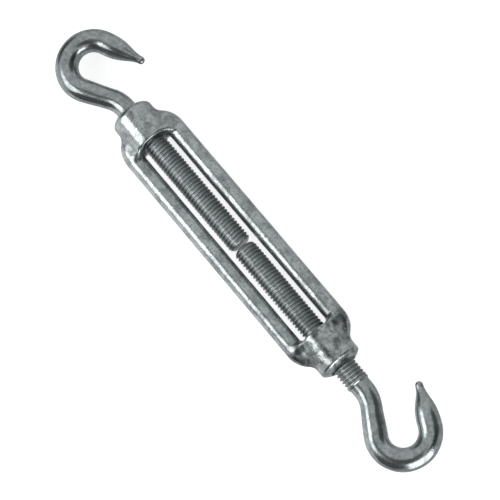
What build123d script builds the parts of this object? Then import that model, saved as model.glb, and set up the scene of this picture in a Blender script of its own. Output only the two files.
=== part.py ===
from build123d import *
from math import cos, radians, sin, tan
import os

# Hook-and-hook rigging turnbuckle: an open body and two hook bolts with M8 threads.
# The screw axis is the X axis and the body's middle is the origin.  The right-hand end (+X) of the body is
# tapped left-handed and the left-hand end (-X) right-handed, so turning the body draws both bolts in or out.
# The two rails lie in the XY plane, and both hooks open towards +Y.
# Each thread is a plain cylinder at its crests, and each tapped hole clears it all round.

os.makedirs("parts", exist_ok=True)

# M8 thread
thread_diameter = 7.9
thread_clearance = 0.15  # radial, between a bolt's thread and the tapped hole around it

# Open body
window_length = 83.0
hub_length = 13.5
hub_diameter = 14.7
hub_chamfer_depth = 0.9
hub_chamfer_width = 1.2
hub_crown = 0.7  # rise of the cone between the chamfer and the land
hole_bevel = 0.3  # at both mouths of the tapped hole
land_width = 0.1  # flat land around the outer bevel
rail_diameter = 6.4
rail_clearance = 1.3  # between a bolt's thread and the rail beside it
shoulder_slope = 55.0  # degrees between the screw axis and a rail where it runs into the hub
shoulder_bend_radius = 5.0
shoulder_setback = 2.7  # from the window's end to the corner of the rail's path
shoulder_root_offset = 0.5  # a rail's path ends this far off the screw axis, inside the hub
shoulder_fillet = 1.6
body_length = window_length + 2 * hub_length

# Hook bolts
bolt_gap = 1.3  # between the two bolts' points
bolt_gap_centre = 3.95  # the gap stands this far towards +X from the body's middle
left_thread_setback = 0.45  # the left bolt's thread ends this far inside its hub's outer face
thread_length = body_length / 2 - left_thread_setback + bolt_gap_centre - bolt_gap / 2
point_bevel = 0.9  # 45 degrees, all round the end of a bolt
point_length = 0.6
thread_relief = 0.4  # the shank's radius is this much less than the thread's
shank_diameter = thread_diameter - 2 * thread_relief
neck_length = 5.7  # from the thread's end to the corner where the neck leaves the screw axis
neck_angle = 31.0
neck_bend_radius = 11.0
bowl_stock_diameter = 7.8
bowl_inner_radius = 4.8
bowl_offset = 0.8  # height of the bowl's centre above the screw axis, towards the hook's tip
tip_diameter = 2.7
tip_end_slope = 12.0  # degrees by which the tip still narrows where its rounded end begins

# Each hook is bent by itself: where its tip leaves the bowl, and how far the tip runs on
right_tip_angle = 65.0
right_tip_length = 14.4
left_tip_angle = 67.5
left_tip_length = 15.0


def turned(*points):
    """A solid of revolution about the X axis, from (x, radius) points."""
    with BuildPart() as solid:
        with BuildSketch(Plane.XY):
            with BuildLine():
                Polyline(*points, close=True)
            make_face()
        revolve(axis=Axis.X)
    return solid.part


def half_body():
    """The body's +X half: a crowned hub, tapped through, and half the length of each rail."""
    hub_radius = hub_diameter / 2
    window_end = window_length / 2
    hub_end = body_length / 2
    hole_radius = thread_diameter / 2 + thread_clearance
    mouth_radius = hole_radius + hole_bevel
    rail_y = thread_diameter / 2 + rail_clearance + rail_diameter / 2
    corner_x = window_end + shoulder_setback
    root_x = corner_x + (rail_y - shoulder_root_offset) / tan(radians(shoulder_slope))

    with BuildPart() as half:
        add(
            turned(
                (window_end, 0),
                (window_end, hub_radius),
                (hub_end - hub_crown - hub_chamfer_depth, hub_radius),
                (hub_end - hub_crown, hub_radius - hub_chamfer_width),
                (hub_end, mouth_radius + land_width),
                (hub_end, 0),
            )
        )
        with BuildLine() as rail_path:
            FilletPolyline(
                (0, rail_y), (corner_x, rail_y), (root_x, shoulder_root_offset), radius=shoulder_bend_radius
            )
        with BuildSketch(Plane.YZ):
            with Locations((rail_y, 0)):
                Circle(rail_diameter / 2)
        sweep(path=rail_path.wires()[0])
        seams = half.edges().filter_by(GeomType.BSPLINE)
        fillet(seams.filter_by_position(Axis.X, window_end + 0.1, hub_end), radius=shoulder_fillet)
        mirror(about=Plane.XZ)
        # The hole's bevels run on past both faces of the hub, so that the cut leaves no skin
        tapped_hole = turned(
            (window_end - hole_bevel, 0),
            (window_end - hole_bevel, mouth_radius + hole_bevel),
            (window_end + hole_bevel, hole_radius),
            (hub_end - hole_bevel, hole_radius),
            (hub_end + hole_bevel, mouth_radius + hole_bevel),
            (hub_end + hole_bevel, 0),
        )
        add(tapped_hole, mode=Mode.SUBTRACT)
    return half.part


def bolt_point(point_x):
    """The plain bevelled point that ends a bolt, pointing back towards -X."""
    point_radius = thread_diameter / 2 - point_bevel
    return turned(
        (point_x, 0),
        (point_x, point_radius),
        (point_x + point_length, point_radius + point_length),
        (point_x + point_length, 0),
    )


def hook_bolt(point_x, tip_angle, tip_length):
    """A hook bolt towards +X, all but its point: thread, shank, bent neck, round bowl and tapered tip."""
    thread_radius = thread_diameter / 2
    thread_start = point_x + point_length
    thread_end = point_x + thread_length
    shank_radius = shank_diameter / 2
    stock_radius = bowl_stock_diameter / 2
    bowl_radius = bowl_inner_radius + stock_radius
    tip_radius = tip_diameter / 2
    neck_slope = radians(neck_angle)
    corner_x = thread_end + neck_length
    bend_start = corner_x - neck_bend_radius * tan(neck_slope / 2)
    # The sloping neck runs into the bowl's centre line as a tangent
    bowl_x = corner_x + (bowl_radius - bowl_offset * cos(neck_slope)) / sin(neck_slope)
    bowl_entry = Vector(bowl_x - bowl_radius * sin(neck_slope), bowl_offset - bowl_radius * cos(neck_slope))
    neck_direction = Vector(cos(neck_slope), -sin(neck_slope))

    with BuildPart() as bolt:
        add(
            turned(
                (thread_start, 0),
                (thread_start, thread_radius - point_bevel + point_length),
                (point_x + point_bevel, thread_radius),
                (thread_end - thread_relief, thread_radius),
                (thread_end, shank_radius),
                (thread_end, 0),
            )
        )

        with BuildLine() as shank_path:
            straight = Line((thread_end, 0), (bend_start, 0))
            bend = JernArc(straight @ 1, straight % 1, neck_bend_radius, -neck_angle)
        with BuildSketch(Plane.YZ.offset(thread_end)):
            Circle(shank_radius)
        sweep(path=shank_path.wires()[0])

        with BuildSketch(Plane(bend @ 1, x_dir=(0, 0, 1), z_dir=neck_direction)):
            Circle(shank_radius)
        with BuildSketch(Plane(bowl_entry, x_dir=(0, 0, 1), z_dir=neck_direction)):
            Circle(stock_radius)
        loft()

        with BuildLine():
            bowl = JernArc(bowl_entry, neck_direction, bowl_radius, neck_angle + 90 + tip_angle)
        with BuildSketch(Plane(bowl_entry, x_dir=(0, 0, 1), z_dir=neck_direction)):
            Circle(stock_radius)
        sweep(path=bowl)

        tip_plane = Plane(bowl @ 1, x_dir=bowl % 1, z_dir=(0, 0, 1))
        with BuildSketch(tip_plane):
            with BuildLine():
                back = Line((0, 0), (0, stock_radius))
                nose = CenterArc((tip_length - tip_radius, 0), tip_radius, 0, 90 - tip_end_slope)
                Spline(
                    (0, stock_radius),
                    (0.3 * tip_length, 0.93 * stock_radius),
                    (0.66 * tip_length, 0.57 * stock_radius),
                    nose @ 1,
                    tangents=[(1, 0), (cos(radians(tip_end_slope)), -sin(radians(tip_end_slope)))],
                )
                Line(nose @ 0, back @ 0)
            make_face()
        revolve(axis=Axis(tip_plane.origin, tip_plane.x_dir))
    return bolt.part


with BuildPart() as turnbuckle_body:
    add(half_body())
    mirror(about=Plane.YZ)
turnbuckle_body.part.label = "turnbuckle_body"
export_step(turnbuckle_body.part, "parts/turnbuckle_body.step")

right_point_x = bolt_gap_centre + bolt_gap / 2
with BuildPart() as right_hook_bolt:
    add(hook_bolt(right_point_x, right_tip_angle, right_tip_length))
right_hook_bolt.part.label = "right_hook_bolt"
export_step(right_hook_bolt.part, "parts/right_hook_bolt.step")

with BuildPart() as right_bolt_point:
    add(bolt_point(right_point_x))
right_bolt_point.part.label = "right_bolt_point"
export_step(right_bolt_point.part, "parts/right_bolt_point.step")

left_point_x = bolt_gap / 2 - bolt_gap_centre
with BuildPart() as left_hook_bolt:
    add(hook_bolt(left_point_x, left_tip_angle, left_tip_length), rotation=(0, 180, 0))
left_hook_bolt.part.label = "left_hook_bolt"
export_step(left_hook_bolt.part, "parts/left_hook_bolt.step")

with BuildPart() as left_bolt_point:
    add(bolt_point(left_point_x), rotation=(0, 180, 0))
left_bolt_point.part.label = "left_bolt_point"
export_step(left_bolt_point.part, "parts/left_bolt_point.step")
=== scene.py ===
import bpy
import numpy as np
from math import cos, pi, radians, sin, tan
from mathutils import Matrix, Vector


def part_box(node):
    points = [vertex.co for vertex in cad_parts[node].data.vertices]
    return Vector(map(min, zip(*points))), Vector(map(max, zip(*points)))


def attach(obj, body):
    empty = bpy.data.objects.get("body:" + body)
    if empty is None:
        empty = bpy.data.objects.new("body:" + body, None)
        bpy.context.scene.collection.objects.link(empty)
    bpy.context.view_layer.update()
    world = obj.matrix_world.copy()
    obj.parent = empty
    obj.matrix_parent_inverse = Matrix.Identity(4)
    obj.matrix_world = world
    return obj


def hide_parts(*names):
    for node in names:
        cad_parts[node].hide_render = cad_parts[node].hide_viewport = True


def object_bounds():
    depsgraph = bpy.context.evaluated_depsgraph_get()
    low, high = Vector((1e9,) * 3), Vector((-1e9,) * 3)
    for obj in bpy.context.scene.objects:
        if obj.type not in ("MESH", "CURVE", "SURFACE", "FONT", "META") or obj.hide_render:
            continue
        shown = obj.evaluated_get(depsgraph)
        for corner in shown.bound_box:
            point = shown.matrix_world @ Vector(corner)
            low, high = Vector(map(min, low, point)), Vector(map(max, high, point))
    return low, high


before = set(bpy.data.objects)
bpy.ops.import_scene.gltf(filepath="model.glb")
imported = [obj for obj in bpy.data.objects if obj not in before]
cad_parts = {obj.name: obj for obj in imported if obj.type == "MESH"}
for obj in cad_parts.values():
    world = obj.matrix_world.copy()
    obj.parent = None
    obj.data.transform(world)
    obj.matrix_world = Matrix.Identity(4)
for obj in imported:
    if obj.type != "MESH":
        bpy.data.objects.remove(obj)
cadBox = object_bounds()
mm = 0.001  # shapes below are worked out in millimetres and put into the meshes in metres
scene = bpy.context.scene


def nodeBox(name):  # lowest and highest corner of a CAD node, in millimetres
    low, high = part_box(name)
    return np.array(low) / mm, np.array(high) / mm


def smoothMax(a, b, width):  # the larger of two fields, their crossing rounded off over width
    blend = np.clip(1 - np.abs(a - b) / width, 0, 1)
    return np.maximum(a, b) + blend * blend * width / 4


def smoothMin(a, b, width):  # the smaller one, rounded the same way
    return -smoothMax(-a, -b, width)


def ease(share):  # 0 to 1 with level ends: 3 t^2 - 2 t^3
    share = np.clip(share, 0, 1)
    return share * share * (3 - 2 * share)


def ripple(points, wavelength, seed):  # a sum of plane waves in random directions, about -1 to 1
    count = 20
    random = np.random.default_rng(seed)
    waves = random.normal(size=(count, 3))
    waves /= np.linalg.norm(waves, axis=1)[:, None]
    waves *= (2 * pi / wavelength) * random.uniform(0.6, 1.4, (count, 1))
    return np.cos(points @ waves.T + random.uniform(0, 2 * pi, count)).sum(-1) / 6


def gridFaces(rows, columns, wrapRows):  # quads on a grid whose columns run all the way round
    row = np.arange(rows if wrapRows else rows - 1)[:, None]
    column = np.arange(columns)[None, :]
    nextRow = (row + 1) % rows
    nextColumn = (column + 1) % columns
    corners = [
        row * columns + column,
        row * columns + nextColumn,
        nextRow * columns + nextColumn,
        nextRow * columns + column,
    ]
    return np.stack(np.broadcast_arrays(*corners), -1).reshape(-1, 4)


def tubeShell(rings):  # rings of points from end to end, each end shut round a point in its middle
    rows, columns = rings.shape[:2]
    points = np.vstack([rings.reshape(-1, 3), rings[0].mean(0), rings[-1].mean(0)])
    here = np.arange(columns)
    after = (here + 1) % columns
    last = (rows - 1) * columns
    start = np.stack([after, here, np.full(columns, rows * columns)], -1)
    end = np.stack([last + here, last + after, np.full(columns, rows * columns + 1)], -1)
    return points, gridFaces(rows, columns, False).tolist() + start.tolist() + end.tolist()


def ringShell(rings):  # a profile that closes on itself, turned all the way round
    return rings.reshape(-1, 3), gridFaces(rings.shape[0], rings.shape[1], True).tolist()


def outward(points, faces):  # turns the faces round if the shell holds a negative volume
    fans = np.array([[face[0], face[k], face[k + 1]] for face in faces for k in range(1, len(face) - 1)])
    a, b, c = (points[fans[:, k]] for k in range(3))
    volume = np.einsum("ij,ij->i", a, np.cross(b, c)).sum()
    return faces if volume > 0 else [face[::-1] for face in faces]


def buildMesh(name, shells):  # closed shells in millimetres, joined in one mesh
    points, faces, start = [], [], 0
    for shellPoints, shellFaces in shells:
        faces += [[start + corner for corner in face] for face in outward(shellPoints, shellFaces)]
        points.append(shellPoints)
        start += len(shellPoints)
    mesh = bpy.data.meshes.new(name)
    mesh.from_pydata((np.vstack(points) * mm).tolist(), [], faces)
    mesh.shade_smooth()
    mesh.update()
    return mesh


def setAttribute(mesh, name, values):  # one number on each vertex, for the materials
    attribute = mesh.attributes.new(name, "FLOAT", "POINT")
    attribute.data.foreach_set("value", np.ascontiguousarray(values, np.float32))


def addPiece(name, mesh, material, body, node):  # one finished piece in place of its CAD node
    piece = bpy.data.objects.new(name, mesh)
    scene.collection.objects.link(piece)
    mesh.materials.append(material)
    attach(piece, body)
    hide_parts(node)
    return piece


class Wire:  # one output socket of a node tree, with the arithmetic that the materials use
    def __init__(self, tree, socket=None):
        self.tree = tree
        self.socket = socket

    def node(self, kind, settings=None, inputs=None, output=0):  # inputs are socket values or wires
        made = self.tree.nodes.new("ShaderNode" + kind)
        for name, value in (settings or {}).items():
            setattr(made, name, value)
        for name, value in (inputs or {}).items():
            if isinstance(value, Wire):
                self.tree.links.new(value.socket, made.inputs[name])
            else:
                made.inputs[name].default_value = value
        return Wire(self.tree, made.outputs[output] if made.outputs else None)

    def maths(self, operation, first, second):
        return self.node("Math", {"operation": operation}, {0: first, 1: second})

    def __add__(self, other):
        return self.maths("ADD", self, other)

    __radd__ = __add__

    def __sub__(self, other):
        return self.maths("SUBTRACT", self, other)

    def __rsub__(self, other):
        return self.maths("SUBTRACT", other, self)

    def __mul__(self, other):
        return self.maths("MULTIPLY", self, other)

    __rmul__ = __mul__

    def step(self, low, high):  # 0 below low, 1 above high, eased between
        ranges = {"Value": self, "From Min": low, "From Max": high}
        return self.node("MapRange", {"interpolation_type": "SMOOTHSTEP"}, ranges)

    def mix(self, first, second):  # colours, by this wire
        inputs = {0: self, 6: first, 7: second}
        return self.node("Mix", {"data_type": "RGBA"}, inputs, output=2)


def place(wire):  # the piece's own coordinates, in millimetres
    coordinates = wire.node("TexCoord", output="Object")
    return wire.node("VectorMath", {"operation": "SCALE"}, {0: coordinates, "Scale": 1 / mm})


def noise(wire, where, wavelength, detail, stretch=(1.0, 1.0, 1.0)):
    turned = wire.node("Mapping", {}, {"Vector": where, "Scale": stretch})
    return wire.node("TexNoise", {}, {"Vector": turned, "Scale": 1 / wavelength, "Detail": detail})


def newTree(name):
    material = bpy.data.materials.new(name)
    material.use_nodes = True
    material.node_tree.nodes.clear()
    return material, Wire(material.node_tree)


print("frame loaded, helpers ready")

zincLook = {  # sizes and heights in millimetres
    "lightColour": (0.60, 0.645, 0.65, 1.0),
    "darkColour": (0.26, 0.285, 0.29, 1.0),
    "stainColour": (0.085, 0.095, 0.095, 1.0),
    "patchSize": 4.2,  # broad clouds in the plating
    "mottleSize": 1.3,
    "grainSize": 0.28,
    "speckSize": 0.36,
    "stainSize": 3.0,  # dark blotches on the right-hand hub
    "scratchSize": 0.5,
    "scratchStretch": (0.06, 1.0, 1.0),  # scratches run along the screw axis
    "nickSize": 1.7,
    "mottleShare": 0.22,  # how much each pattern dulls the plating
    # painted shade: how far the shade attribute darkens the plating's colour
    "grainDulling": 0.40,
    "paintedShadeDulling": 0.35,
    "wornBrightening": 0.18,
    "stainShare": 0.72,
    "speckShare": 1.7,
    "grainHeight": 0.09,
    "mottleHeight": 0.018,
    "nickDepth": 0.05,
    "scratchDepth": 0.012,
    "bumpDistance": 0.4,
    "metallic": 0.94,
}
zincKinds = {
    "bodyZinc": {"roughness": 0.18, "patchShare": 0.40, "grainShare": 0.50, "dullness": 0.0},
    "boltZinc": {"roughness": 0.16, "patchShare": 0.18, "grainShare": 0.16, "dullness": 0.26},
}


def zincMaterial(name, roughness, patchShare, grainShare, dullness):
    # patches and finer mottling blend two greys; painted shade darkens and roughens the plating in hollows
    # and along the threads' +Y side; worn crests shine
    look = zincLook
    material, wire = newTree(name)
    where = place(wire)
    patch = noise(wire, where, look["patchSize"], 4.0).step(0.42, 0.66)
    mottle = noise(wire, where, look["mottleSize"], 5.0).step(0.35, 0.68)
    grain = noise(wire, where, look["grainSize"], 2.0)
    scratch = noise(wire, where, look["scratchSize"], 2.0, look["scratchStretch"]).step(0.60, 0.72)
    nick = noise(wire, where, look["nickSize"], 1.0).step(0.66, 0.74)
    speck = noise(wire, where, look["speckSize"], 2.0).step(0.56, 0.70) * grainShare
    paintedShade, worn, stained = (
        wire.node("Attribute", {"attribute_name": kind}, output="Fac") for kind in ("paintedShade", "worn", "stain")
    )
    blotch = noise(wire, where, look["stainSize"], 5.0).step(0.45, 0.61) * stained

    dull = dullness + patch * patchShare + mottle * look["mottleShare"]
    # painted shade: the shade attribute darkens the colour in hollows and on the threads' +Y side
    dull = dull + grain * look["grainDulling"] + paintedShade * look["paintedShadeDulling"]
    shade = (dull - worn * look["wornBrightening"]).step(0.10, 1.0)
    plain = shade.mix(look["lightColour"], look["darkColour"])
    colour = (blotch * look["stainShare"] + speck * look["speckShare"]).mix(plain, look["stainColour"])

    rough = roughness + mottle * 0.07 + patch * 0.05 + paintedShade * 0.22 + scratch * 0.05 + worn * 0.10
    speckled = rough + (grain - 0.5) * grainShare
    height = grain * grainShare * look["grainHeight"] + mottle * look["mottleHeight"]
    height = height - nick * look["nickDepth"] - scratch * look["scratchDepth"]
    distance = look["bumpDistance"] * mm
    bump = wire.node("Bump", {}, {"Height": height, "Strength": 0.8, "Distance": distance})
    inputs = {"Base Color": colour, "Roughness": speckled, "Normal": bump}
    inputs.update({"Metallic": look["metallic"], "IOR": 1.6})
    shader = wire.node("BsdfPrincipled", {}, inputs)
    wire.node("OutputMaterial", {}, {"Surface": shader})
    return material


bodyZinc, boltZinc = (zincMaterial(name, **kind) for name, kind in zincKinds.items())
print("zinc finishes made")

bodyShape = {  # millimetres
    "windowLength": 83.0,
    "railRadius": 3.2,
    "shoulderSlope": 55.0,  # degrees
    "shoulderBend": 5.0,
    "shoulderSetback": 2.7,
    "rootOffset": 0.5,
    "fillet": 1.5,  # width over which hub and rail flow into each other
    "cornerFillet": 2.4,  # added to it at the window's corners
    "landRadius": 4.5,
    "crown": 0.7,
    "chamferDepth": 0.9,
    "chamferWidth": 1.2,
    "rightEdge": 0.3,  # rounding of the hub's outer edges
    "leftEdge": 1.3,
    "windowEdge": 0.9,
    "rightSwell": 0.35,  # the forging runs on past the turned hub by this much
    "leftSwell": 0.95,
    "windowDish": 0.35,  # the hub's window face is hollow by this much in its middle
    "boreRadius": 4.35,
    "boreMouth": 0.35,
    "voxel": 0.36,
    "skinPasses": 14,
    "skinStride": 0.4,  # a point's longest move in one pass
    "lumpHeight": 0.05,  # the casting's low waves and its small dents
    "lumpLength": 9.0,
    "dentHeight": 0.045,
    "dentLength": 2.2,
    "sleeveInset": 0.45,
    "sleeveWall": 0.8,
    "stainLevel": 0.12,  # stain everywhere, then more on the right-hand hub and a little on the left-hand one
    "rightStain": 0.88,
    "leftStain": 0.25,
}
_, bodyHigh = nodeBox("turnbuckle_body")
hubRadius = bodyHigh[2]
hubEnd = bodyHigh[0]
railY = bodyHigh[1] - bodyShape["railRadius"]
windowEnd = bodyShape["windowLength"] / 2
slope = radians(bodyShape["shoulderSlope"])
cornerX = windowEnd + bodyShape["shoulderSetback"]
bendLead = bodyShape["shoulderBend"] * tan(slope / 2)


def segmentDistance(x, y, start, end):  # distance from (x, y) to a straight piece of a rail's path
    run = np.subtract(end, start)
    share = np.clip(((x - start[0]) * run[0] + (y - start[1]) * run[1]) / (run @ run), 0, 1)
    return np.hypot(x - start[0] - share * run[0], y - start[1] - share * run[1])


def railField(x, y, z):  # distance to the rail's centre line, run, bend and slope, less its radius
    bendStart = (cornerX - bendLead, railY)
    bendEnd = (cornerX + bendLead * cos(slope), railY - bendLead * sin(slope))
    rootX = cornerX + (railY - bodyShape["rootOffset"]) / tan(slope)
    flat = segmentDistance(x, y, (-1.0, railY), bendStart)
    sloped = segmentDistance(x, y, bendEnd, (rootX, bodyShape["rootOffset"]))
    centreY = railY - bodyShape["shoulderBend"]
    angle = np.arctan2(x - bendStart[0], y - centreY)
    arc = np.abs(np.hypot(x - bendStart[0], y - centreY) - bodyShape["shoulderBend"])
    arc = np.where((angle > 0) & (angle < slope), arc, 1e3)
    return np.hypot(np.minimum(np.minimum(flat, sloped), arc), z) - bodyShape["railRadius"]


def hubField(x, radius, edge):  # the hub's side, window face, chamfer, crowned cone and flat land
    chamferRun = np.hypot(bodyShape["chamferDepth"], bodyShape["chamferWidth"])
    chamferX = hubEnd - bodyShape["crown"]
    chamferRadius = hubRadius - bodyShape["chamferWidth"]
    coneWidth = chamferRadius - bodyShape["landRadius"]
    coneRun = np.hypot(coneWidth, bodyShape["crown"])
    dish = bodyShape["windowDish"] * (1 - (radius / hubRadius) ** 2)
    faceSide = windowEnd + dish - x
    chamfer = (x - chamferX) * bodyShape["chamferWidth"]
    chamfer = chamfer + (radius - chamferRadius) * bodyShape["chamferDepth"]
    cone = (x - hubEnd) * coneWidth + (radius - bodyShape["landRadius"]) * bodyShape["crown"]
    field = smoothMax(radius - hubRadius, chamfer / chamferRun, edge)
    field = smoothMax(field, cone / coneRun, edge)
    field = smoothMax(field, x - hubEnd, 0.3)
    return smoothMax(field, faceSide, bodyShape["windowEdge"])


def bodyField(points):  # below zero inside the metal; hub and rails flow together, then the bore is taken out
    x, y, z = np.abs(points[:, 0]), np.abs(points[:, 1]), points[:, 2]
    radius = np.hypot(y, z)
    swell = np.where(points[:, 0] > 0, bodyShape["rightSwell"], bodyShape["leftSwell"])
    x = x - swell * ease((x - windowEnd + 2) / (hubEnd - windowEnd))  # stretches the hub and its shoulders
    edge = np.where(points[:, 0] > 0, bodyShape["rightEdge"], bodyShape["leftEdge"])
    hub = hubField(x, radius, edge)
    rail = railField(x, y, z)
    corner = ease(1 - np.abs(x - windowEnd) / 3)
    solid = smoothMin(hub, rail, bodyShape["fillet"] + bodyShape["cornerFillet"] * corner)
    faceDepth = np.minimum(np.abs(x - hubEnd), np.abs(x - windowEnd))
    mouth = np.clip(bodyShape["boreMouth"] - faceDepth, 0, None)
    return smoothMax(solid, bodyShape["boreRadius"] + mouth - radius, 0.25), hub, rail


def turnedRings(profile, segments):  # (x, radius) points turned about the screw axis
    angle = np.linspace(0, 2 * pi, segments, endpoint=False)
    x = np.repeat(profile[:, :1], segments, 1)
    return np.stack([x, profile[:, 1:] * np.cos(angle), profile[:, 1:] * np.sin(angle)], -1)


def roughRail(side):  # a plain tube along a rail, ending in the hubs' walls, for the first skin
    down = np.linspace(0, 1, 12)[:, None]
    bend = np.array([cornerX, railY])
    root = bend + np.array([cos(slope), -sin(slope)]) * (railY - 7.0) / sin(slope)
    half = bend + (root - bend) * down
    path = np.vstack([half[::-1] * [-1, 1], half])
    path = np.stack([path[:, 0], side * path[:, 1], 0 * path[:, 0]], -1)
    tangent = np.gradient(path, axis=0)
    tangent /= np.linalg.norm(tangent, axis=1)[:, None]
    across = np.cross([0, 0, 1], tangent)
    angle = np.linspace(0, 2 * pi, 24, endpoint=False)[None, :, None]
    radius = bodyShape["railRadius"]
    return path[:, None] + radius * (np.cos(angle) * across[:, None] + np.sin(angle) * np.array([0, 0, 1]))


def roughHub(side):  # a plain bored drum for the first skin
    near, far = windowEnd + 0.1, hubEnd - 0.1
    bore, drum = bodyShape["boreRadius"], hubRadius
    profile = np.array([(near, bore), (far, bore), (far, drum - 1), (far - 1, drum), (near, drum)])
    return turnedRings(profile * [side, 1], 48)


def voxelSkin(mesh, voxel):  # one even skin round shells that overlap
    rough = bpy.data.objects.new("roughBody", mesh)
    scene.collection.objects.link(rough)
    remesh = rough.modifiers.new("skin", "REMESH")
    remesh.mode = "VOXEL"
    remesh.voxel_size = voxel * mm
    skin = bpy.data.meshes.new_from_object(rough.evaluated_get(bpy.context.evaluated_depsgraph_get()))
    bpy.data.objects.remove(rough)
    points = np.empty(len(skin.vertices) * 3, np.float32)
    skin.vertices.foreach_get("co", points)
    faces = [list(polygon.vertices) for polygon in skin.polygons]
    return points.reshape(-1, 3).astype(float) / mm, faces


def fieldSlope(points):  # the field's gradient by central differences
    step = 0.02
    slopes = [bodyField(points + offset)[0] - bodyField(points - offset)[0] for offset in np.eye(3) * step]
    return np.stack(slopes, -1) / (2 * step)


def bodySkin():  # the body's outside, bore walls and window faces
    shells = [ringShell(roughHub(side)) for side in (1, -1)]
    shells += [tubeShell(roughRail(side)) for side in (1, -1)]
    points, faces = voxelSkin(buildMesh("roughBody", shells), bodyShape["voxel"])
    stride = bodyShape["skinStride"]
    for _ in range(bodyShape["skinPasses"]):  # each point slides down the field's slope on to the surface
        normal = fieldSlope(points)
        length = np.maximum((normal**2).sum(1), 0.2)[:, None]
        points -= np.clip(bodyField(points)[0][:, None] * normal / length, -stride, stride)
    normal = fieldSlope(points)
    normal /= np.maximum(np.linalg.norm(normal, axis=1), 1e-6)[:, None]
    lump = 0.5 + 0.5 * ripple(points * [0.6, 1, 1], bodyShape["lumpLength"], 3)
    dent = ease(ripple(points, bodyShape["dentLength"], 8) * 1.1 - 0.5)
    sunk = bodyShape["lumpHeight"] * np.clip(lump, 0, 1) + bodyShape["dentHeight"] * dent
    outside = ease((np.hypot(points[:, 1], points[:, 2]) - bodyShape["boreRadius"] - 0.3) / 0.6)
    return points - normal * (sunk * outside)[:, None], faces


boltShape = {  # millimetres and degrees
    "crestRadius": 3.95,
    "pitch": 1.25,
    "threadDepth": 0.56,
    "crestWidth": 0.22,
    "flankAngle": 30.0,
    "clearance": 0.15,  # between the tapped thread and the bolt's
    "threadLength": 57.25,
    "runOut": 1.6,
    "pointRadius": 3.05,
    "pointLength": 0.6,
    "shankRadius": 3.55,
    "neckAngle": 31.0,
    "neckBend": 11.0,
    "stockRadius": 3.9,
    "bowlInner": 4.8,
    "bowlOffset": 0.8,
    "tipRadius": 1.35,
    "segments": 72,
    "threadStep": 0.09,
    "plainStep": 0.3,
    "waviness": 0.035,  # height of the low waves in the plain stock
    "waveLength": 7.0,
    "lineStep": 0.02,
}
hookTips = {"right": {"angle": 65.0, "length": 14.4}, "left": {"angle": 67.5, "length": 15.0}}


def threadRadius(x, angle, hand):  # crest, flank and root; the crest is at +Y where x is a whole pitch
    turn = x / boltShape["pitch"] - hand * angle / (2 * pi)
    offset = np.abs(turn - np.round(turn)) * boltShape["pitch"]
    flank = boltShape["threadDepth"] * tan(radians(boltShape["flankAngle"]))
    share = np.clip((offset - boltShape["crestWidth"] / 2) / flank, 0, 1)
    share = 0.4 * share + 0.6 * ease(share)
    return boltShape["crestRadius"] - boltShape["threadDepth"] * share


def tappedSleeve(side, hand):  # the tapped thread: its own ring of metal, sunk in the hub's wall
    near, far = windowEnd + bodyShape["sleeveInset"], hubEnd - bodyShape["sleeveInset"]
    along = np.linspace(near, far, 150)
    angle = np.linspace(0, 2 * pi, 56, endpoint=False)
    x = np.repeat(along[:, None], len(angle), 1)
    inner = threadRadius(x, angle[None, :], hand) + boltShape["clearance"]
    mouth = bodyShape["boreRadius"] - np.minimum(x - near, far - x) * 1.2
    inner = np.maximum(inner, mouth)
    outer = np.full((2, len(angle)), bodyShape["boreRadius"] + bodyShape["sleeveWall"])
    radius = np.vstack([inner, outer])
    x = np.vstack([x, np.full(len(angle), far), np.full(len(angle), near)])
    rings = np.stack([x, radius * np.cos(angle), radius * np.sin(angle)], -1)
    return rings * [side, 1, side]


def centreLine(lengths, bends, step):  # heading is the sum of the bends so far; the line is its running sum
    ends = np.cumsum(lengths)
    fine = np.arange(0, ends[-1] + step / 2, step)
    curve = np.zeros_like(fine)
    for start, end, bend in zip(ends - lengths, ends, bends):
        curve += np.where((fine >= start) & (fine < end), bend / (end - start), 0)
    heading = np.concatenate([[0], np.cumsum((curve[1:] + curve[:-1]) / 2 * step)])
    run = np.stack([np.cos(heading), np.sin(heading)], -1)
    line = np.vstack([[0, 0], np.cumsum((run[1:] + run[:-1]) / 2 * step, 0)])
    return fine, line, heading


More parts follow.
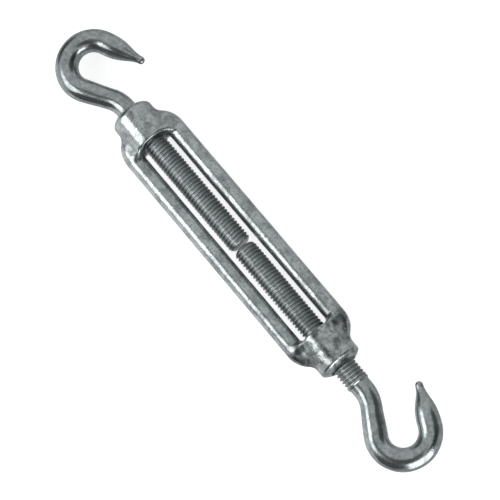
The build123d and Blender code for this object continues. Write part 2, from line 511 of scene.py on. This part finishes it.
def hookBoltRings(side, hand):  # rings of a radius function of place and angle, carried along the centre line
    name = "right" if side > 0 else "left"
    low, high = nodeBox(name + "_hook_bolt")
    startX = low[0] if side > 0 else -high[0]
    endX = high[0] if side > 0 else -low[0]
    tip = hookTips[name]
    neck = radians(boltShape["neckAngle"])
    bowlRadius = boltShape["bowlInner"] + boltShape["stockRadius"]
    bowlX = endX - bowlRadius - boltShape["stockRadius"]
    bendX = bowlX - (bowlRadius - boltShape["bowlOffset"] * cos(neck)) / sin(neck)
    lead = boltShape["neckBend"] * tan(neck / 2)
    entryX = bowlX - bowlRadius * sin(neck)
    straight = bendX - lead - startX
    slant = (entryX - bendX) / cos(neck) - lead
    bowlTurn = neck + radians(90 + tip["angle"])
    lengths = np.array([straight, boltShape["neckBend"] * neck, slant, bowlRadius * bowlTurn, tip["length"]])
    bends = [0, -neck, 0, bowlTurn, 0]
    fine, line, heading = centreLine(lengths, bends, boltShape["lineStep"])
    ends = np.cumsum(lengths)

    threadEnd = boltShape["threadLength"]
    noseStart = ends[4] - boltShape["tipRadius"]
    nose = ends[4] - boltShape["tipRadius"] * (1 - np.sin(np.linspace(0, pi / 2, 12))[:-1])
    nose = nose[nose > noseStart]
    along = np.concatenate(
        [
            np.arange(0, threadEnd + 1, boltShape["threadStep"]),
            np.arange(threadEnd + 1.1, noseStart, boltShape["plainStep"]),
            nose,
            [ends[4] - 0.004],
        ]
    )
    centre = np.stack([np.interp(along, fine, line[:, 0]) + startX, np.interp(along, fine, line[:, 1])], -1)
    turn = np.interp(along, fine, heading)
    angle = np.linspace(0, 2 * pi, boltShape["segments"], endpoint=False)[None, :]
    s = along[:, None]

    # thread with a bevel at its start and a groove that runs out over its last turn
    thread = threadRadius(s + startX, angle, hand)
    runOut = ease((s - threadEnd + boltShape["runOut"]) / boltShape["runOut"])
    thread = thread + (boltShape["crestRadius"] - thread) * runOut
    pointRim = boltShape["pointRadius"] + boltShape["pointLength"]
    thread = np.minimum(thread, pointRim + s)
    # plain stock: shank, a neck that thickens to the bowl, and a tip that narrows as 1 + cos of t^1.5
    thicken = ease((s - ends[1]) / slant)
    stock = boltShape["shankRadius"] + (boltShape["stockRadius"] - boltShape["shankRadius"]) * thicken
    share = np.clip((s - ends[3]) / (noseStart - ends[3]), 0, 1) ** 1.5
    stock = stock + (boltShape["tipRadius"] - boltShape["stockRadius"]) * (0.5 - 0.5 * np.cos(pi * share))
    noseReach = np.clip(s - noseStart, 0, boltShape["tipRadius"])
    stock = np.where(s > noseStart, np.sqrt(boltShape["tipRadius"] ** 2 - noseReach**2), stock)
    plain = ease((s - threadEnd + 0.1) / 0.8)
    radius = thread + (stock - thread) * plain

    across = np.stack([-np.sin(turn), np.cos(turn), 0 * turn], -1)[:, None]
    outwards = np.cos(angle)[..., None] * across + np.sin(angle)[..., None] * np.array([0, 0, 1])
    middle = np.stack([centre[:, 0], centre[:, 1], 0 * turn], -1)[:, None]
    surface = middle + radius[..., None] * outwards
    wave = ripple(surface, boltShape["waveLength"], 11 + side)
    sunk = boltShape["waviness"] * (1 + np.clip(wave, -1, 1)) * ease((s - threadEnd) / 6)
    rings = surface - (sunk * np.clip(radius / 2, 0, 1))[..., None] * outwards
    groove = (boltShape["crestRadius"] - thread) / boltShape["threadDepth"]
    # painted shade: darker in the thread's grooves and all along its +Y side, and roughened there
    paintedShade = (0.45 * np.clip(groove, 0, 1) + 1.1 * ease(np.cos(angle) - 0.05)) * (1 - plain)
    worn = np.clip(1 - groove * 2.5, 0, 1) * (1 - plain)
    return rings * [side, 1, side], np.broadcast_to(paintedShade, radius.shape), np.broadcast_to(worn, radius.shape)


def addHookBolt(side, hand):  # side is 1 at +X and -1 at -X; hand is -1 for a left-hand thread
    name = "right" if side > 0 else "left"
    rings, paintedShade, worn = hookBoltRings(side, hand)
    mesh = buildMesh(name + "HookBolt", [tubeShell(rings)])
    # painted shade on the bolt, with a little on the shut end
    setAttribute(mesh, "paintedShade", np.append(paintedShade.ravel(), [0.3, 0]))
    setAttribute(mesh, "worn", np.append(worn.ravel(), [0, 0]))
    addPiece(name + "HookBolt", mesh, boltZinc, name + "_hook", name + "_hook_bolt")


def addBoltPoint(side):  # the sawn and bevelled end of a bolt: flat face, soft rim, 45 degree bevel
    name = "right" if side > 0 else "left"
    low, high = nodeBox(name + "_bolt_point")
    startX = low[0] if side > 0 else -high[0]
    rim, length = boltShape["pointRadius"], boltShape["pointLength"]
    turn = np.linspace(0, pi / 4, 6)
    soft = 0.25
    softRim = np.stack([soft - soft * np.cos(turn), rim - 0.1 + soft * np.sin(turn)], -1)
    face = np.stack([np.zeros(8), np.linspace(0.05, rim - 0.15, 8)], -1)
    bevel = np.array([(length * 0.5, rim + length * 0.5), (length, rim + length)])
    back = np.array([(length, 1.6), (length, 0.05)])
    profile = np.vstack([face, softRim, bevel, back]) + [startX, 0]
    rings = turnedRings(profile, boltShape["segments"]) * [side, 1, side]
    mesh = buildMesh(name + "BoltPoint", [tubeShell(rings)])
    # an even touch of painted shade over the whole point
    setAttribute(mesh, "paintedShade", np.full(len(mesh.vertices), 0.2))
    setAttribute(mesh, "worn", np.zeros(len(mesh.vertices)))
    addPiece(name + "BoltPoint", mesh, boltZinc, name + "_point", name + "_bolt_point")


def addBody():
    points, faces = bodySkin()
    sleeves = [ringShell(tappedSleeve(1, -1)), ringShell(tappedSleeve(-1, 1))]
    mesh = buildMesh("turnbuckleBody", [(points, faces)] + sleeves)
    _, hub, rail = bodyField(points)
    # painted shade: darker where hub and rail flow together, inside the bore and over the tapped sleeves
    meetingShade = np.clip(1 - np.abs(hub - rail) / 2.2, 0, 1) * 0.8
    bore = ease((bodyShape["boreRadius"] + 1.0 - np.hypot(points[:, 1], points[:, 2])) / 0.8)
    paintedShade = np.concatenate([np.maximum(meetingShade, bore), np.full(len(mesh.vertices) - len(points), 0.9)])
    setAttribute(mesh, "paintedShade", paintedShade)
    setAttribute(mesh, "worn", np.zeros(len(mesh.vertices)))
    stain = bodyShape["stainLevel"] + bodyShape["rightStain"] * ease((points[:, 0] - windowEnd + 4) / 5)
    stain = stain + bodyShape["leftStain"] * ease((-points[:, 0] - windowEnd) / 5)
    setAttribute(mesh, "stain", np.concatenate([stain, np.zeros(len(mesh.vertices) - len(points))]))
    addPiece("turnbuckleBody", mesh, bodyZinc, "body", "turnbuckle_body")


addBody()
print("body made")
for side, hand in ((1, -1), (-1, 1)):
    addHookBolt(side, hand)
    addBoltPoint(side)
print("hook bolts made")

viewShape = {
    "tilt": 14.5,  # degrees from straight above towards the right-hand hook
    "roll": 49.7,  # degrees by which the screw axis falls to the right
    "distance": 0.836,
    "lens": 187.0,
    "aimRight": 4.92,
    "aimUp": -4.05,
}
tilt, roll = radians(viewShape["tilt"]), radians(viewShape["roll"])
alongAxis = Vector((cos(tilt), 0, -sin(tilt)))
acrossAxis = Vector((0, 1, 0))
towardsCamera = Vector((sin(tilt), 0, cos(tilt)))
viewRight = cos(roll) * alongAxis + sin(roll) * acrossAxis
viewUp = -sin(roll) * alongAxis + cos(roll) * acrossAxis


def addCamera():
    camera = bpy.data.objects.new("camera", bpy.data.cameras.new("camera"))
    scene.collection.objects.link(camera)
    camera.data.lens = viewShape["lens"]
    camera.data.sensor_width = 36.0
    camera.data.clip_start = 0.01
    aim = viewRight * viewShape["aimRight"] * mm + viewUp * viewShape["aimUp"] * mm
    camera.matrix_world = Matrix.Translation(aim + towardsCamera * viewShape["distance"]) @ Matrix(
        (viewRight, viewUp, towardsCamera)
    ).transposed().to_4x4()
    scene.camera = camera


softBoxes = {  # azimuth runs from -Y towards +X; leaning is measured from the camera's direction
    "leftBox": {
        "azimuth": -38, "leaning": 57, "width": 0.40, "height": 0.32, "distance": 0.6, "power": 0.85
    },
    "lowerBox": {
        "azimuth": 84, "leaning": 68, "width": 0.30, "height": 0.34, "distance": 0.38, "power": 0.78
    },
}


def lampDirection(azimuth, leaning):  # the direction itself, and its part across the view
    turn, lean = radians(azimuth), radians(leaning)
    sideways = -cos(turn) * acrossAxis + sin(turn) * alongAxis
    return cos(lean) * towardsCamera + sin(lean) * sideways, sideways


def addSoftBox(name, azimuth, leaning, width, height, distance, power):
    towards, sideways = lampDirection(azimuth, leaning)
    light = bpy.data.objects.new(name, bpy.data.lights.new(name, "AREA"))
    scene.collection.objects.link(light)
    light.data.shape = "RECTANGLE"
    light.data.size = width
    light.data.size_y = height
    light.data.energy = power
    light.visible_camera = False
    longSide = towardsCamera.cross(sideways).normalized()
    light.matrix_world = Matrix.Translation(towards * distance) @ Matrix(
        (longSide, towards.cross(longSide), towards)
    ).transposed().to_4x4()


roomLook = {
    "ceiling": 0.62,
    "below": 0.46,  # what the metal mirrors instead of the floor
    "floorColour": (0.80, 0.80, 0.80, 1.0),
    "floorGlow": 0.75,
    "wallGlow": 0.93,
    "reach": 4.0,
}
worldCards = {  # azimuth, leaning, inner and outer half width, depth: above zero dark, below zero pale
    "centreFlag": (12, 20, 11, 30, 0.88),
    "edgeFlag": (-54, 31, 5, 10, 0.97),
    "gapFlag": (18, 72, 22, 40, 0.88),
    "leftFlag": (-78, 95, 13, 26, 0.92),
    "upperFlag": (163, 56, 18, 34, 0.88),
    "rightFlag": (128, 46, 15, 30, 0.95),
    "floorCard": (-22, 118, 16, 40, -0.9),
}


def addStage(name, mesh, material):  # shows to the camera but not in the metal
    mesh.materials.append(material)
    stage = bpy.data.objects.new(name, mesh)
    scene.collection.objects.link(stage)
    stage.visible_glossy = False
    return stage


def addRoom():
    world = bpy.data.worlds.new("studio")
    scene.world = world
    world.use_nodes = True
    world.node_tree.nodes.clear()
    wire = Wire(world.node_tree)
    direction = wire.node("TexCoord", output="Generated")
    rise = wire.node("SeparateXYZ", {}, {0: direction}, output="Z")
    strength = roomLook["below"] + rise.step(-0.1, 0.25) * (roomLook["ceiling"] - roomLook["below"])
    for azimuth, leaning, inner, outer, depth in worldCards.values():
        towards, _ = lampDirection(azimuth, leaning)
        inputs = {0: direction, 1: towards}
        facing = wire.node("VectorMath", {"operation": "DOT_PRODUCT"}, inputs, output="Value")
        strength = strength * (1 - facing.step(cos(radians(outer)), cos(radians(inner))) * depth)
    background = wire.node("Background", {}, {"Color": (0.98, 1.0, 1.0, 1.0), "Strength": strength})
    wire.node("OutputWorld", {}, {"Surface": background})

    # the floor and the pale dome behind it show to the camera; the metal mirrors the world behind them
    material, paint = newTree("floorPaint")
    shader = paint.node(
        "BsdfPrincipled",
        {},
        {
            "Base Color": roomLook["floorColour"],
            "Roughness": 0.9,
            "Emission Color": (1.0, 1.0, 1.0, 1.0),
            "Emission Strength": roomLook["floorGlow"],
        },
    )
    paint.node("OutputMaterial", {}, {"Surface": shader})
    reach = roomLook["reach"]
    level = cadBox[0].z - 0.0001
    corners = [(-reach, -reach, level), (reach, -reach, level), (reach, reach, level), (-reach, reach, level)]
    mesh = bpy.data.meshes.new("floor")
    mesh.from_pydata(corners, [], [(0, 1, 2, 3)])
    addStage("floor", mesh, material)

    wallPaint, paint = newTree("wallPaint")
    glow = paint.node("Emission", {}, {"Color": (1.0, 1.0, 1.0, 1.0), "Strength": roomLook["wallGlow"]})
    paint.node("OutputMaterial", {}, {"Surface": glow})
    arc = np.linspace(0.01, pi - 0.01, 24)
    dome = turnedRings(np.stack([-np.cos(arc), np.sin(arc)], -1) * reach * 0.9 / mm, 48)
    wall = addStage("wall", buildMesh("wall", [tubeShell(dome)]), wallPaint)
    wall.visible_diffuse = False
    wall.visible_shadow = False


addCamera()
for name, box in softBoxes.items():
    addSoftBox(name, **box)
addRoom()
scene.view_settings.view_transform = "Standard"
print("camera, floor and light set")
